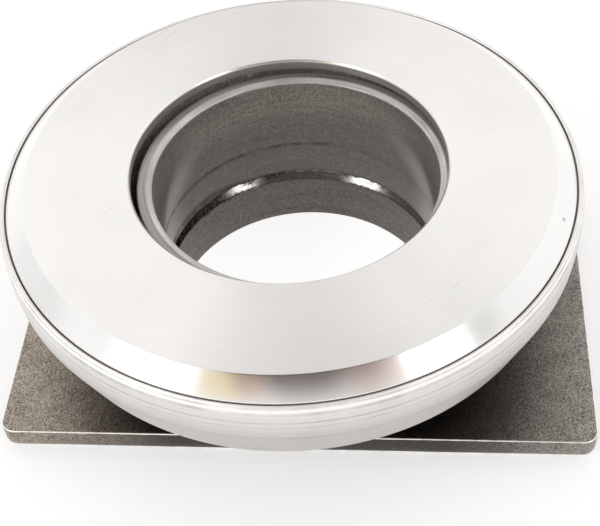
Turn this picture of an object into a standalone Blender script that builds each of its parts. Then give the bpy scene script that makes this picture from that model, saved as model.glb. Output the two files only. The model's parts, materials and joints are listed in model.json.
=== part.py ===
"""Self-centring thrust ball bearing for a sliding guide tube.

A flat guide plate carries a hub and a sleeve, which are one rigid carrier. The bearing unit stands on the
hub's seat and floats sideways round the sleeve: a cup under the hub's flange holds it down through a wave
spring. Inside the unit a ring of balls runs between a fixed lower race and the thrust ring on top, and a
snap ring on the unit's neck keeps the thrust ring from lifting off.

Metres, +Z up. The origin is on the sleeve's axis, at the underside of the guide plate.
"""

import math

import bmesh
import bpy
from mathutils import Vector

# Spaces between pieces
FIT_GAP = 0.0003  # where pieces seat on or in each other
RUNNING_GAP = 0.00033  # round the turning ring
BALL_GAP = 0.00015  # between a ball and its race
POCKET_GAP = 0.0002  # between a ball and its cage pocket

# Guide plate
PLATE_WIDTH = 0.1045
PLATE_LAND = 0.0044  # from the hub's hole to each long edge
PLATE_THICKNESS = 0.0045
PLATE_CORNER_RADIUS = 0.0025
PLATE_EDGE_BREAK = 0.0003

# Sleeve
SLEEVE_BORE_RADIUS = 0.0250
SLEEVE_WALL = 0.0027
SLEEVE_SETBACK = 0.00295  # from the thrust face down to the sleeve's end
SLEEVE_RIM_WIDTH = 0.00115
SLEEVE_RIM_DROP = 0.0004
SLEEVE_EDGE_BREAK = 0.0003
SLEEVE_SEAT_DEPTH = 0.00695  # how deep the sleeve sits in the hub
OIL_LINE_HEIGHT = 0.0074  # above the sleeve's lower end
OIL_LINE_DEPTH = 0.0002

# Hub
HUB_RISE = 0.01435  # from the plate's top to the hub's seat
HUB_WALL = 0.0030
HUB_BORE_RELIEF = 0.00005
HUB_LEAD_WIDTH = 0.0012
HUB_LEAD_HEIGHT = 0.0020
HUB_SPIGOT_STEP = 0.0020
HUB_FLANGE_REACH = 0.0055
HUB_FLANGE_THICKNESS = 0.0040

# Sideways float of the bearing unit, each way along X and along Y, and where it rests
FLOAT_REACH = 0.0015
FLOAT_REST_X = -0.0011

# Neck of the bearing unit and the snap ring on it
NECK_WALL = 0.0015
NECK_GROOVE_DEPTH = 0.0009
NECK_TOP_GAP = 0.0006
SNAP_RING_THICKNESS = 0.0009
SNAP_RING_REACH = 0.0012  # how far it stands out of the neck
SNAP_RING_SLOT = 0.0040

# Balls and races
BALL_RADIUS = 0.0047625
BALL_COUNT = 18
RACE_INNER_SHOULDER = 0.0030
RACE_OUTER_SHOULDER = 0.0016
RACE_FLOOR = 0.0026  # lower race, under its groove
LAND_OFFSET = 0.0022  # from the balls' middle plane to each race's land

# Cage
CAGE_HALF_THICKNESS = 0.0018
CAGE_INNER_RIM = 0.0013
CAGE_OUTER_RIM = 0.00105

# Thrust ring
RING_WEB = 0.00397  # above the groove
RING_OVERHANG = 0.00309  # past the lower race's outer edge
RING_HOLE_RELIEF = 0.0024  # past the sleeve's bore
RING_HOLE_BREAK = 0.0003
RING_LIP_THICKNESS = 0.0018
RING_SHOULDER_HEIGHT = 0.0021
RING_CHAMFER_WIDTH = 0.00343
RING_CHAMFER_HEIGHT = 0.00278

# Housing shell
SHELL_FLOOR = 0.0022
SHELL_BASE_WALL = 0.0005
SHELL_LIP_WALL = 0.00099
SHELL_LIP_RISE = 0.0003
SHELL_LIP_ROUND = 0.0007
SHELL_STEP_GAP = 0.0005  # under the thrust ring's overhang
SHELL_TAPER_HEIGHT = 0.00885
SHELL_BAND_HEIGHT = 0.0030
SHELL_BAND_STEP = 0.00025
SHELL_BASE_ROUND = 0.00035

# Retainer cup and wave spring
CUP_WALL = 0.0012
CUP_LIP_THICKNESS = 0.0011
CUP_SEAT_DEPTH = 0.0011
SPRING_THICKNESS = 0.0005
SPRING_WAVE = 0.00035
SPRING_WAVES = 4

# Facets
FINE_STEPS = 64
STEPS = 48
GROOVE_STEPS = 8
POCKET_SIDES = 16
BALL_SEGMENTS = 12
BALL_RINGS = 7
CORNER_SEGMENTS = 4
CUTTER_MARGIN = 0.002

# Radii, from the sleeve outwards
SLEEVE_RADIUS = SLEEVE_BORE_RADIUS + SLEEVE_WALL
HUB_SOCKET_RADIUS = SLEEVE_RADIUS + FIT_GAP
HUB_RADIUS = HUB_SOCKET_RADIUS + HUB_WALL
HUB_FLANGE_RADIUS = HUB_RADIUS + HUB_FLANGE_REACH
HUB_BORE_RADIUS = SLEEVE_BORE_RADIUS + HUB_BORE_RELIEF
HUB_SPIGOT_RADIUS = HUB_RADIUS - HUB_SPIGOT_STEP
PLATE_DEPTH = 2 * (HUB_SPIGOT_RADIUS + FIT_GAP + PLATE_LAND)
FLOAT_CLEARANCE = math.hypot(FLOAT_REACH, FLOAT_REACH) + FIT_GAP
NECK_BORE_RADIUS = SLEEVE_RADIUS + FLOAT_CLEARANCE
NECK_RADIUS = NECK_BORE_RADIUS + NECK_WALL
SNAP_RING_RADIUS = NECK_RADIUS + SNAP_RING_REACH
RACE_BORE_RADIUS = NECK_RADIUS + FIT_GAP
PITCH_RADIUS = RACE_BORE_RADIUS + RACE_INNER_SHOULDER + BALL_RADIUS
RACE_RADIUS = PITCH_RADIUS + BALL_RADIUS + RACE_OUTER_SHOULDER
SHELL_CAVITY_RADIUS = RACE_RADIUS + FIT_GAP
RING_RADIUS = RACE_RADIUS + RING_OVERHANG
RING_HOLE_RADIUS = SLEEVE_BORE_RADIUS + RING_HOLE_RELIEF
SHELL_LIP_BORE_RADIUS = RING_RADIUS + RUNNING_GAP
SHELL_RADIUS = SHELL_LIP_BORE_RADIUS + SHELL_LIP_WALL
CUP_BORE_RADIUS = HUB_FLANGE_RADIUS + FLOAT_CLEARANCE
CUP_RADIUS = CUP_BORE_RADIUS + CUP_WALL
CUP_LIP_RADIUS = HUB_RADIUS + FLOAT_CLEARANCE
GROOVE_RADIUS = BALL_RADIUS + BALL_GAP
POCKET_RADIUS = BALL_RADIUS + POCKET_GAP

# Heights, from the plate's underside upwards
HUB_SEAT_Z = PLATE_THICKNESS + HUB_RISE
SHELL_BASE_Z = HUB_SEAT_Z + FIT_GAP
SHELL_FLOOR_Z = SHELL_BASE_Z + SHELL_FLOOR
RACE_BASE_Z = SHELL_FLOOR_Z + FIT_GAP
BALL_Z = RACE_BASE_Z + RACE_FLOOR + GROOVE_RADIUS
RING_UNDERSIDE_Z = BALL_Z + LAND_OFFSET
THRUST_FACE_Z = BALL_Z + GROOVE_RADIUS + RING_WEB
RING_EDGE_Z = THRUST_FACE_Z - RING_CHAMFER_HEIGHT
RING_LIP_Z = THRUST_FACE_Z - RING_LIP_THICKNESS
RING_SHOULDER_Z = RING_UNDERSIDE_Z + RING_SHOULDER_HEIGHT
SHELL_STEP_Z = RING_UNDERSIDE_Z - SHELL_STEP_GAP
SLEEVE_TOP_Z = THRUST_FACE_Z - SLEEVE_SETBACK
HUB_SOCKET_Z = HUB_SEAT_Z - SLEEVE_SEAT_DEPTH
SLEEVE_BASE_Z = HUB_SOCKET_Z + FIT_GAP
NECK_TOP_Z = RING_LIP_Z - NECK_TOP_GAP
SNAP_RING_Z = RING_SHOULDER_Z + RUNNING_GAP
HUB_FLANGE_Z = HUB_SEAT_Z - HUB_FLANGE_THICKNESS
SPRING_SPACE = SPRING_THICKNESS + 2 * SPRING_WAVE + 2 * FIT_GAP
CUP_LIP_TOP_Z = HUB_FLANGE_Z - SPRING_SPACE

PARTS_NAME = "thrust_ball_bearing"
CUTTERS_NAME = "cutters"


def clear_scene():
    """Remove every object that the scene starts with."""
    for obj in list(bpy.data.objects):
        bpy.data.objects.remove(obj, do_unlink=True)


def add_collection(name):
    """Make a collection in the scene."""
    collection = bpy.data.collections.new(name)
    bpy.context.scene.collection.children.link(collection)
    return collection


def add_material(name, colour, roughness, metallic):
    """A Principled material."""
    material = bpy.data.materials.new(name)
    material.use_nodes = True
    shader = material.node_tree.nodes["Principled BSDF"]
    shader.inputs["Base Color"].default_value = (*colour, 1.0)
    shader.inputs["Roughness"].default_value = roughness
    shader.inputs["Metallic"].default_value = metallic
    return material


def link(obj, collection, material=None, parent=None):
    """Put an object in its collection, with its material and its parent."""
    collection.objects.link(obj)
    if material:
        obj.data.materials.append(material)
    if parent:
        obj.parent = parent
    return obj


def add_empty(name, location, collection, parent=None):
    """An axis to hang pieces from."""
    empty = bpy.data.objects.new(name, None)
    empty.location = location
    return link(empty, collection, parent=parent)


def arc(centre_x, centre_z, radius, start, end, steps):
    """Points of a circular arc, angles in radians from +X towards +Z."""
    points = []
    for i in range(steps + 1):
        angle = start + (end - start) * i / steps
        points.append((centre_x + radius * math.cos(angle), centre_z + radius * math.sin(angle)))
    return points


def turned_mesh(name, profile, steps):
    """Turn a closed profile, which runs down its outer side, round Z and bake it to a smooth-shaded mesh."""
    outline = bpy.data.meshes.new(name)
    edges = [(i, (i + 1) % len(profile)) for i in range(len(profile))]
    outline.from_pydata([(x, 0.0, z) for x, z in profile], edges, [])
    blank = bpy.data.objects.new(name + "_profile", outline)
    bpy.context.scene.collection.objects.link(blank)
    screw = blank.modifiers.new("turn", "SCREW")
    screw.axis = "Z"
    screw.angle = 2 * math.pi
    screw.steps = steps
    screw.render_steps = steps
    screw.use_merge_vertices = True
    screw.merge_threshold = 0.00001
    graph = bpy.context.evaluated_depsgraph_get()
    mesh = bpy.data.meshes.new_from_object(blank.evaluated_get(graph))
    mesh.name = name
    bpy.data.objects.remove(blank, do_unlink=True)
    mesh.shade_smooth()
    mesh.set_sharp_from_angle(angle=math.radians(25))
    return mesh


def turned(name, profile, steps, collection, material, parent=None):
    """A turned piece, its origin on its axis."""
    obj = bpy.data.objects.new(name, turned_mesh(name, profile, steps))
    return link(obj, collection, material, parent)


def mesh_from_bmesh(name, bm):
    """Move a bmesh into a new mesh."""
    mesh = bpy.data.meshes.new(name)
    bm.to_mesh(mesh)
    bm.free()
    return mesh


def add_cutter(name, mesh, collection, parent=None):
    """A helper that only cuts."""
    cutter = bpy.data.objects.new(name, mesh)
    cutter.hide_render = True
    cutter.display_type = "WIRE"
    return link(cutter, collection, parent=parent)


def cut(obj, cutter):
    """Take the cutter away from the object."""
    boolean = obj.modifiers.new("cut_" + cutter.name, "BOOLEAN")
    boolean.operation = "DIFFERENCE"
    boolean.solver = "EXACT"
    boolean.object = cutter


def add_cylinder(bm, radius, z_low, z_high, segments, x=0.0, y=0.0):
    """Add an upright cylinder to a bmesh."""
    made = bmesh.ops.create_cone(
        bm,
        cap_ends=True,
        segments=segments,
        radius1=radius,
        radius2=radius,
        depth=z_high - z_low,
    )
    bmesh.ops.translate(bm, verts=made["verts"], vec=Vector((x, y, (z_low + z_high) / 2)))


def guide_plate(parts, cutters, steel):
    """The flat plate with rounded corners that slides in the fork, bored for the hub's spigot."""
    bm = bmesh.new()
    bmesh.ops.create_cube(bm, size=1.0)
    bmesh.ops.scale(bm, verts=bm.verts, vec=(PLATE_WIDTH, PLATE_DEPTH, PLATE_THICKNESS))
    bmesh.ops.translate(bm, verts=bm.verts, vec=(0.0, 0.0, PLATE_THICKNESS / 2))
    upright = [e for e in bm.edges if abs(e.verts[0].co.z - e.verts[1].co.z) > PLATE_THICKNESS / 2]
    bmesh.ops.bevel(
        bm,
        geom=upright,
        affect="EDGES",
        offset=PLATE_CORNER_RADIUS,
        offset_type="OFFSET",
        segments=CORNER_SEGMENTS,
        profile=0.5,
    )
    plate = bpy.data.objects.new("guide_plate", mesh_from_bmesh("guide_plate", bm))
    link(plate, parts, steel)
    edge_break = plate.modifiers.new("edge_break", "BEVEL")
    edge_break.width = PLATE_EDGE_BREAK
    edge_break.segments = 1
    edge_break.limit_method = "ANGLE"
    edge_break.angle_limit = math.radians(60)

    bm = bmesh.new()
    bore = HUB_SPIGOT_RADIUS + FIT_GAP
    add_cylinder(bm, bore, -CUTTER_MARGIN, PLATE_THICKNESS + CUTTER_MARGIN, STEPS)
    cut(plate, add_cutter("plate_bore", mesh_from_bmesh("plate_bore", bm), cutters))
    return plate


def hub(parts, steel):
    """The flanged hub: spigot in the plate, seat for the bearing unit, socket for the sleeve."""
    shoulder_z = PLATE_THICKNESS + FIT_GAP
    lead_base_z = HUB_SOCKET_Z - HUB_LEAD_HEIGHT
    profile = [
        (HUB_FLANGE_RADIUS, HUB_SEAT_Z),
        (HUB_FLANGE_RADIUS, HUB_FLANGE_Z),
        (HUB_RADIUS, HUB_FLANGE_Z),
        (HUB_RADIUS, shoulder_z),
        (HUB_SPIGOT_RADIUS, shoulder_z),
        (HUB_SPIGOT_RADIUS, 0.0),
        (HUB_BORE_RADIUS, 0.0),
        (HUB_BORE_RADIUS, lead_base_z),
        (HUB_BORE_RADIUS + HUB_LEAD_WIDTH, HUB_SOCKET_Z),
        (HUB_SOCKET_RADIUS, HUB_SOCKET_Z),
        (HUB_SOCKET_RADIUS, HUB_SEAT_Z),
    ]
    return turned("hub", profile, STEPS, parts, steel)


def sleeve(parts, steel):
    """The guide sleeve: a tube with a dished rim and a fine oil line in its bore."""
    oil_z = SLEEVE_BASE_Z + OIL_LINE_HEIGHT
    profile = [
        (SLEEVE_RADIUS - SLEEVE_EDGE_BREAK, SLEEVE_TOP_Z),
        (SLEEVE_RADIUS, SLEEVE_TOP_Z - SLEEVE_EDGE_BREAK),
        (SLEEVE_RADIUS, SLEEVE_BASE_Z),
        (SLEEVE_BORE_RADIUS, SLEEVE_BASE_Z),
        (SLEEVE_BORE_RADIUS, oil_z - OIL_LINE_DEPTH),
        (SLEEVE_BORE_RADIUS + OIL_LINE_DEPTH, oil_z),
        (SLEEVE_BORE_RADIUS, oil_z + OIL_LINE_DEPTH),
        (SLEEVE_BORE_RADIUS, SLEEVE_TOP_Z - SLEEVE_RIM_DROP),
        (SLEEVE_BORE_RADIUS + SLEEVE_RIM_WIDTH, SLEEVE_TOP_Z),
    ]
    return turned("sleeve", profile, FINE_STEPS, parts, steel)


def wave_spring(parts, steel, axis):
    """The flat ring with waves that presses the cup's lip down from the hub's flange."""
    inner = HUB_RADIUS + FLOAT_REACH + FIT_GAP
    outer = CUP_BORE_RADIUS - FLOAT_REACH - FIT_GAP
    middle_z = (CUP_LIP_TOP_Z + HUB_FLANGE_Z) / 2
    top_z = middle_z + SPRING_THICKNESS / 2
    base_z = middle_z - SPRING_THICKNESS / 2
    profile = [(outer, top_z), (outer, base_z), (inner, base_z), (inner, top_z)]
    spring = turned("wave_spring", profile, STEPS, parts, steel, axis)
    for vertex in spring.data.vertices:
        angle = math.atan2(vertex.co.y, vertex.co.x)
        vertex.co.z += SPRING_WAVE * math.cos(SPRING_WAVES * angle)
    return spring


def retainer_cup(parts, steel, axis):
    """The pressed cup under the housing, whose lip reaches under the hub's flange."""
    top_z = SHELL_BASE_Z + CUP_SEAT_DEPTH - FIT_GAP
    base_z = CUP_LIP_TOP_Z - CUP_LIP_THICKNESS
    profile = [
        (CUP_RADIUS, top_z),
        (CUP_RADIUS, base_z + CUP_WALL),
        (CUP_RADIUS - CUP_WALL, base_z),
        (CUP_LIP_RADIUS, base_z),
        (CUP_LIP_RADIUS, CUP_LIP_TOP_Z),
        (CUP_BORE_RADIUS, CUP_LIP_TOP_Z),
        (CUP_BORE_RADIUS, top_z),
    ]
    return turned("retainer_cup", profile, STEPS, parts, steel, axis)


def housing_shell(parts, steel, axis):
    """The outer shell: tapered base, slim wall up to the lip round the thrust ring, floor with a cup seat."""
    taper_z = SHELL_BASE_Z + SHELL_TAPER_HEIGHT
    band_z = taper_z + SHELL_BAND_HEIGHT
    lip_z = RING_EDGE_Z + SHELL_LIP_RISE
    base_radius = SHELL_CAVITY_RADIUS + SHELL_BASE_WALL
    cup_seat_z = SHELL_BASE_Z + CUP_SEAT_DEPTH
    floor_bore = NECK_RADIUS + FIT_GAP
    profile = [
        (SHELL_LIP_BORE_RADIUS + SHELL_LIP_WALL / 3, lip_z),
        (SHELL_RADIUS - SHELL_LIP_ROUND / 2, lip_z - SHELL_LIP_ROUND / 2),
        (SHELL_RADIUS, lip_z - 2 * SHELL_LIP_ROUND),
        (SHELL_RADIUS, band_z),
        (SHELL_RADIUS - SHELL_BAND_STEP, taper_z),
        (base_radius, SHELL_BASE_Z + SHELL_BASE_ROUND),
        (base_radius - SHELL_BASE_ROUND, SHELL_BASE_Z),
        (CUP_RADIUS + FIT_GAP, SHELL_BASE_Z),
        (CUP_RADIUS + FIT_GAP, cup_seat_z),
        (CUP_BORE_RADIUS - FIT_GAP, cup_seat_z),
        (CUP_BORE_RADIUS - FIT_GAP, SHELL_BASE_Z),
        (floor_bore, SHELL_BASE_Z),
        (floor_bore, SHELL_FLOOR_Z),
        (SHELL_CAVITY_RADIUS, SHELL_FLOOR_Z),
        (SHELL_CAVITY_RADIUS, SHELL_STEP_Z),
        (SHELL_LIP_BORE_RADIUS, SHELL_STEP_Z),
        (SHELL_LIP_BORE_RADIUS, RING_EDGE_Z),
    ]
    return turned("housing_shell", profile, FINE_STEPS, parts, steel, axis)


def housing_neck(parts, steel, axis):
    """The tube pressed into the housing's floor, grooved near its top for the snap ring."""
    groove_radius = NECK_RADIUS - NECK_GROOVE_DEPTH
    groove_base_z = SNAP_RING_Z - FIT_GAP
    groove_top_z = SNAP_RING_Z + SNAP_RING_THICKNESS + FIT_GAP
    profile = [
        (NECK_RADIUS - FIT_GAP, NECK_TOP_Z),
        (NECK_RADIUS, NECK_TOP_Z - FIT_GAP),
        (NECK_RADIUS, groove_top_z),
        (groove_radius, groove_top_z),
        (groove_radius, groove_base_z),
        (NECK_RADIUS, groove_base_z),
        (NECK_RADIUS, SHELL_BASE_Z),
        (NECK_BORE_RADIUS, SHELL_BASE_Z),
        (NECK_BORE_RADIUS, NECK_TOP_Z),
    ]
    return turned("housing_neck", profile, STEPS, parts, steel, axis)


def snap_ring(parts, cutters, steel, axis):
    """The split ring in the neck's groove that keeps the thrust ring on."""
    inner = NECK_RADIUS - NECK_GROOVE_DEPTH + FIT_GAP
    top_z = SNAP_RING_Z + SNAP_RING_THICKNESS
    profile = [
        (SNAP_RING_RADIUS, top_z),
        (SNAP_RING_RADIUS, SNAP_RING_Z),
        (inner, SNAP_RING_Z),
        (inner, top_z),
    ]
    ring = turned("snap_ring", profile, STEPS, parts, steel, axis)

    bm = bmesh.new()
    bmesh.ops.create_cube(bm, size=1.0)
    reach = SNAP_RING_RADIUS - inner + 2 * CUTTER_MARGIN
    height = SNAP_RING_THICKNESS + 2 * CUTTER_MARGIN
    bmesh.ops.scale(bm, verts=bm.verts, vec=(reach, SNAP_RING_SLOT, height))
    middle = Vector(((SNAP_RING_RADIUS + inner) / 2, 0.0, SNAP_RING_Z + SNAP_RING_THICKNESS / 2))
    bmesh.ops.translate(bm, verts=bm.verts, vec=middle)
    cut(ring, add_cutter("snap_ring_slot", mesh_from_bmesh("snap_ring_slot", bm), cutters, axis))
    return ring


def groove(side, start, end):
    """The ball groove of a race on one side of the balls: +1 above them, -1 below them."""
    edge = math.asin(LAND_OFFSET / GROOVE_RADIUS)
    angles = {"outer": side * edge, "inner": side * (math.pi - edge)}
    return arc(PITCH_RADIUS, BALL_Z, GROOVE_RADIUS, angles[start], angles[end], GROOVE_STEPS)


def lower_race(parts, steel, axis):
    """The fixed race on the housing's floor, its groove upwards."""
    profile = [
        (RACE_RADIUS, BALL_Z - LAND_OFFSET),
        (RACE_RADIUS, RACE_BASE_Z),
        (RACE_BORE_RADIUS, RACE_BASE_Z),
        (RACE_BORE_RADIUS, BALL_Z - LAND_OFFSET),
        *groove(-1, "inner", "outer"),
    ]
    return turned("lower_race", profile, STEPS, parts, steel, axis)


def thrust_ring(parts, steel, axis):
    """The turning ring: thrust face on top, chamfered rim, groove underneath, lip over the snap ring."""
    shoulder_bore = NECK_RADIUS + RUNNING_GAP
    undercut = SNAP_RING_RADIUS + RUNNING_GAP
    profile = [
        (RING_RADIUS - RING_CHAMFER_WIDTH, THRUST_FACE_Z),
        (RING_RADIUS, RING_EDGE_Z),
        (RING_RADIUS, RING_UNDERSIDE_Z),
        *groove(1, "outer", "inner"),
        (shoulder_bore, RING_UNDERSIDE_Z),
        (shoulder_bore, RING_SHOULDER_Z),
        (undercut, RING_SHOULDER_Z),
        (undercut, RING_LIP_Z),
        (RING_HOLE_RADIUS, RING_LIP_Z),
        (RING_HOLE_RADIUS, THRUST_FACE_Z - RING_HOLE_BREAK),
        (RING_HOLE_RADIUS + RING_HOLE_BREAK, THRUST_FACE_Z),
    ]
    return turned("thrust_ring", profile, FINE_STEPS, parts, steel, axis)


def ball_angles():
    """The angle of each ball round the ring."""
    return [2 * math.pi * i / BALL_COUNT for i in range(BALL_COUNT)]


def ball_cage(parts, cutters, plastic, axis):
    """The ring with a round pocket for each ball."""
    inner = PITCH_RADIUS - POCKET_RADIUS - CAGE_INNER_RIM
    outer = PITCH_RADIUS + POCKET_RADIUS + CAGE_OUTER_RIM
    top_z = BALL_Z + CAGE_HALF_THICKNESS
    base_z = BALL_Z - CAGE_HALF_THICKNESS
    profile = [(outer, top_z), (outer, base_z), (inner, base_z), (inner, top_z)]
    cage = turned("ball_cage", profile, 3 * BALL_COUNT, parts, plastic, axis)

    bm = bmesh.new()
    for angle in ball_angles():
        add_cylinder(
            bm,
            POCKET_RADIUS,
            base_z - CUTTER_MARGIN,
            top_z + CUTTER_MARGIN,
            POCKET_SIDES,
            PITCH_RADIUS * math.cos(angle),
            PITCH_RADIUS * math.sin(angle),
        )
    cut(cage, add_cutter("cage_pockets", mesh_from_bmesh("cage_pockets", bm), cutters, axis))
    return cage


def balls(parts, steel, axis):
    """The balls, each turned so that its poles lie on its rolling axis, which is radial."""
    bm = bmesh.new()
    bmesh.ops.create_uvsphere(
        bm,
        u_segments=BALL_SEGMENTS,
        v_segments=BALL_RINGS,
        radius=BALL_RADIUS,
    )
    mesh = mesh_from_bmesh("ball", bm)
    mesh.materials.append(steel)
    mesh.shade_smooth()
    made = []
    for number, angle in enumerate(ball_angles(), start=1):
        ball = bpy.data.objects.new(f"ball_{number:02d}", mesh)
        ball.location = (PITCH_RADIUS * math.cos(angle), PITCH_RADIUS * math.sin(angle), BALL_Z)
        ball.rotation_euler = (0.0, math.pi / 2, angle)
        made.append(link(ball, parts, parent=axis))
    return made


def main():
    """Build the bearing."""
    clear_scene()
    parts = add_collection(PARTS_NAME)
    cutters = add_collection(CUTTERS_NAME)
    phosphated = add_material("phosphated_steel", (0.10, 0.09, 0.08), 0.55, 0.8)
    dark_steel = add_material("dark_steel", (0.16, 0.15, 0.14), 0.45, 0.9)
    turned_steel = add_material("turned_steel", (0.78, 0.78, 0.77), 0.25, 1.0)
    shell_steel = add_material("shell_steel", (0.70, 0.70, 0.70), 0.32, 1.0)
    race_steel = add_material("race_steel", (0.60, 0.60, 0.60), 0.20, 1.0)
    spring_steel = add_material("spring_steel", (0.25, 0.25, 0.27), 0.35, 1.0)
    polyamide = add_material("polyamide", (0.55, 0.47, 0.33), 0.55, 0.0)

    guide_plate(parts, cutters, phosphated)
    hub(parts, dark_steel)
    sleeve(parts, dark_steel)

    unit_axis = add_empty("bearing_unit_axis", (FLOAT_REST_X, 0.0, 0.0), parts)
    wave_spring(parts, spring_steel, unit_axis)
    retainer_cup(parts, shell_steel, unit_axis)
    housing_shell(parts, shell_steel, unit_axis)
    housing_neck(parts, shell_steel, unit_axis)
    snap_ring(parts, cutters, spring_steel, unit_axis)
    lower_race(parts, race_steel, unit_axis)
    ball_cage(parts, cutters, polyamide, unit_axis)
    balls(parts, race_steel, unit_axis)
    thrust_ring(parts, turned_steel, unit_axis)


main()
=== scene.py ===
"""Looks of the self-centring thrust ball bearing: turned pieces, plate, finishes, floor, light and camera."""
from functools import partialmethod
import json
import math
import random

import bmesh
import bpy
from mathutils import Matrix, Vector


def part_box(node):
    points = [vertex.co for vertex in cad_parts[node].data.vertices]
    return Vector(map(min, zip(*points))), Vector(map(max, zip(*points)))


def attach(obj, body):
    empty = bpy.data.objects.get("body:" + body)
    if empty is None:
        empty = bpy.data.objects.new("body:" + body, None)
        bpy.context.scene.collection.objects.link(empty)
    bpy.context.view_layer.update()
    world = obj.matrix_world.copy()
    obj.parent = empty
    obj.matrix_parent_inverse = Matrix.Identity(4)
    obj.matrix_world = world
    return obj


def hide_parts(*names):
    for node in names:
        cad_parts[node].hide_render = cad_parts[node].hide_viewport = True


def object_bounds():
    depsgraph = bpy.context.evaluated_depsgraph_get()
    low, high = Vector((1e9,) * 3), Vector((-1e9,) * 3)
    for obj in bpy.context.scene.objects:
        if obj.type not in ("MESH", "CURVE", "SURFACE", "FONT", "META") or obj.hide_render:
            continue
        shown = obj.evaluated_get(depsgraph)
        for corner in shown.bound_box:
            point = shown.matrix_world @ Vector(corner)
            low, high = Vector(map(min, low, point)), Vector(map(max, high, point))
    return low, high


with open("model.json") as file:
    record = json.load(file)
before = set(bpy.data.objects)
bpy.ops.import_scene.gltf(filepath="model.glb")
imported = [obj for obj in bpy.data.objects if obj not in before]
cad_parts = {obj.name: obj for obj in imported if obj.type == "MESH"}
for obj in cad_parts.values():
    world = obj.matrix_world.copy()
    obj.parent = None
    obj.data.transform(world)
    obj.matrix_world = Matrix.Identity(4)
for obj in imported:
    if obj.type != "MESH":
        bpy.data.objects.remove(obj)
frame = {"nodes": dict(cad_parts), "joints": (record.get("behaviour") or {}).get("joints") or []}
CAD_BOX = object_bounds()

# Sizes that the boxes of the fixed pieces don't give, in metres
SLEEVE_WALL = 0.0027
SLEEVE_RIM_WIDTH = 0.00115
SLEEVE_RIM_DROP = 0.0004
OIL_LINE_HEIGHT = 0.0074
OIL_LINE_DEPTH = 0.00003
FIT_GAP = 0.0003
HUB_BORE_RELIEF = 0.00005
HUB_LEAD_WIDTH = 0.0012
HUB_LEAD_HEIGHT = 0.0020
HUB_SPIGOT_STEP = 0.0020
HUB_FLANGE_REACH = 0.0055
HUB_FLANGE_THICKNESS = 0.0040
NECK_WALL = 0.0015
NECK_GROOVE_DEPTH = 0.0009
SNAP_RING_REACH = 0.0012
SNAP_RING_SLOT_HALF = 0.0020
SNAP_RING_STEPS = 300
SNAP_RING_END_ANGLE = 0.004
BALL_RADIUS = 0.0047625
BALL_GAP = 0.00015
LAND_OFFSET = 0.0022
GROOVE_STEPS = 14
CAGE_POCKET_GAP = 0.0002
CAGE_INNER_RELIEF = 0.00025
RING_HOLE_RELIEF = 0.0024
RING_HOLE_BREAK = 0.00042
RING_LIP_THICKNESS = 0.0018
RING_SHOULDER_HEIGHT = 0.0021
RING_CHAMFER_WIDTH = 0.00343
RING_CHAMFER_HEIGHT = 0.00278
RING_CHAMFER_CROWN = 0.00006
RUNNING_GAP = 0.00033
GAP_RELIEF = -0.00012
GAP_DEPTH = 0.0005
GAP_SEAL = 0.00006
SHELL_FLOOR = 0.0022
SHELL_LIP_WALL = 0.00099
SHELL_STEP_GAP = 0.0005
SHELL_TAPER_HEIGHT = 0.00885
SHELL_BAND_HEIGHT = 0.0030
SHELL_BAND_STEP = 0.00025
SHELL_BASE_WALL = 0.0005
CUP_WALL = 0.0012
CUP_LIP_THICKNESS = 0.0011
CUP_LIP_REACH = 0.0055
CUP_SEAT_DEPTH = 0.0011
SPRING_THICKNESS = 0.0005
SPRING_OVERLAP = 0.0018
SPRING_WAVE = 0.00035
SPRING_WAVES = 4
PLATE_CORNER_RADIUS = 0.0025
PLATE_RAGGEDNESS = 0.00009
TINY_FILLET = 0.00006
MERGE_DISTANCE = 1e-6

TURN_STEPS = 360
CAGE_STEPS = 240
POCKET_STEPS = 40
BALL_RINGS = 24
PLATE_HOLE_STEPS = 240
SHARP_ANGLE = 28.0

# Angles round the sleeve's axis, in degrees, of the arcs of painted highlight on the hub's lead-in cone and of
# the painted streaks of reflected light in the bore
GLINT_ARCS = ((57.0, 72.0), (115.0, 126.0))
SHEEN_MIDDLE = 96.0
SHEEN_LOW = 82.0
SHEEN_HIGH = 61.0

# Direction, outer and inner angle and colour of each thing that the studio's white is broken by
STUDIO_PATCHES = (
    (142, 38, 34, 10, (1.16, 1.16, 1.15)),
    (52, 38, 30, 10, (1.10, 1.10, 1.09)),
    (221, 41, 11, 4, (1.25, 1.25, 1.25)),
    (327, 43, 9, 3, (1.25, 1.25, 1.25)),
    (347, 36, 9, 2, (0.66, 0.65, 0.64)),
    (168, 18, 22, 8, (0.88, 0.88, 0.87)),
    (243, 48, 13, 2, (0.86, 0.72, 0.48)),
    (308, 48, 12, 2, (0.82, 0.64, 0.56)),
    (279, 66, 26, 15, (0.080, 0.048, 0.043)),
    (254, 49, 7, 1, (0.56, 0.38, 0.30)),
    (300, 49, 8, 1, (0.46, 0.33, 0.29)),
)

FLOOR_HALF = 4.0
CAMERA_PLACE = (0.0195, -0.16002, 0.18876)
CAMERA_TURN = 7.123
CAMERA_TILT = 90 - 47.58
CAMERA_ROLL = -4.805
CAMERA_LENS = 76.91


# ---- sizes read from the fixed pieces

def outline(node):
    """Outer radius, lowest and highest point of a round piece."""
    low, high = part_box(node)
    return (high.y - low.y) / 2, low.z, high.z


def joint_place(name):
    """Where a joint stands."""
    return Vector(next(j for j in frame["joints"] if j["name"] == name)["pos_m"])


UNIT_X = joint_place("thrust_spin").x
BALL_Z = joint_place("cage_spin").z
BALLS = sorted(n for n in frame["nodes"] if n.startswith("ball_") and n != "ball_cage")
PITCH_RADIUS = joint_place("ball_01_roll").x - UNIT_X
HOLE_RADIUS = outline("sleeve")[0] - SLEEVE_WALL + RING_HOLE_RELIEF


# ---- nodes

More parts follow.
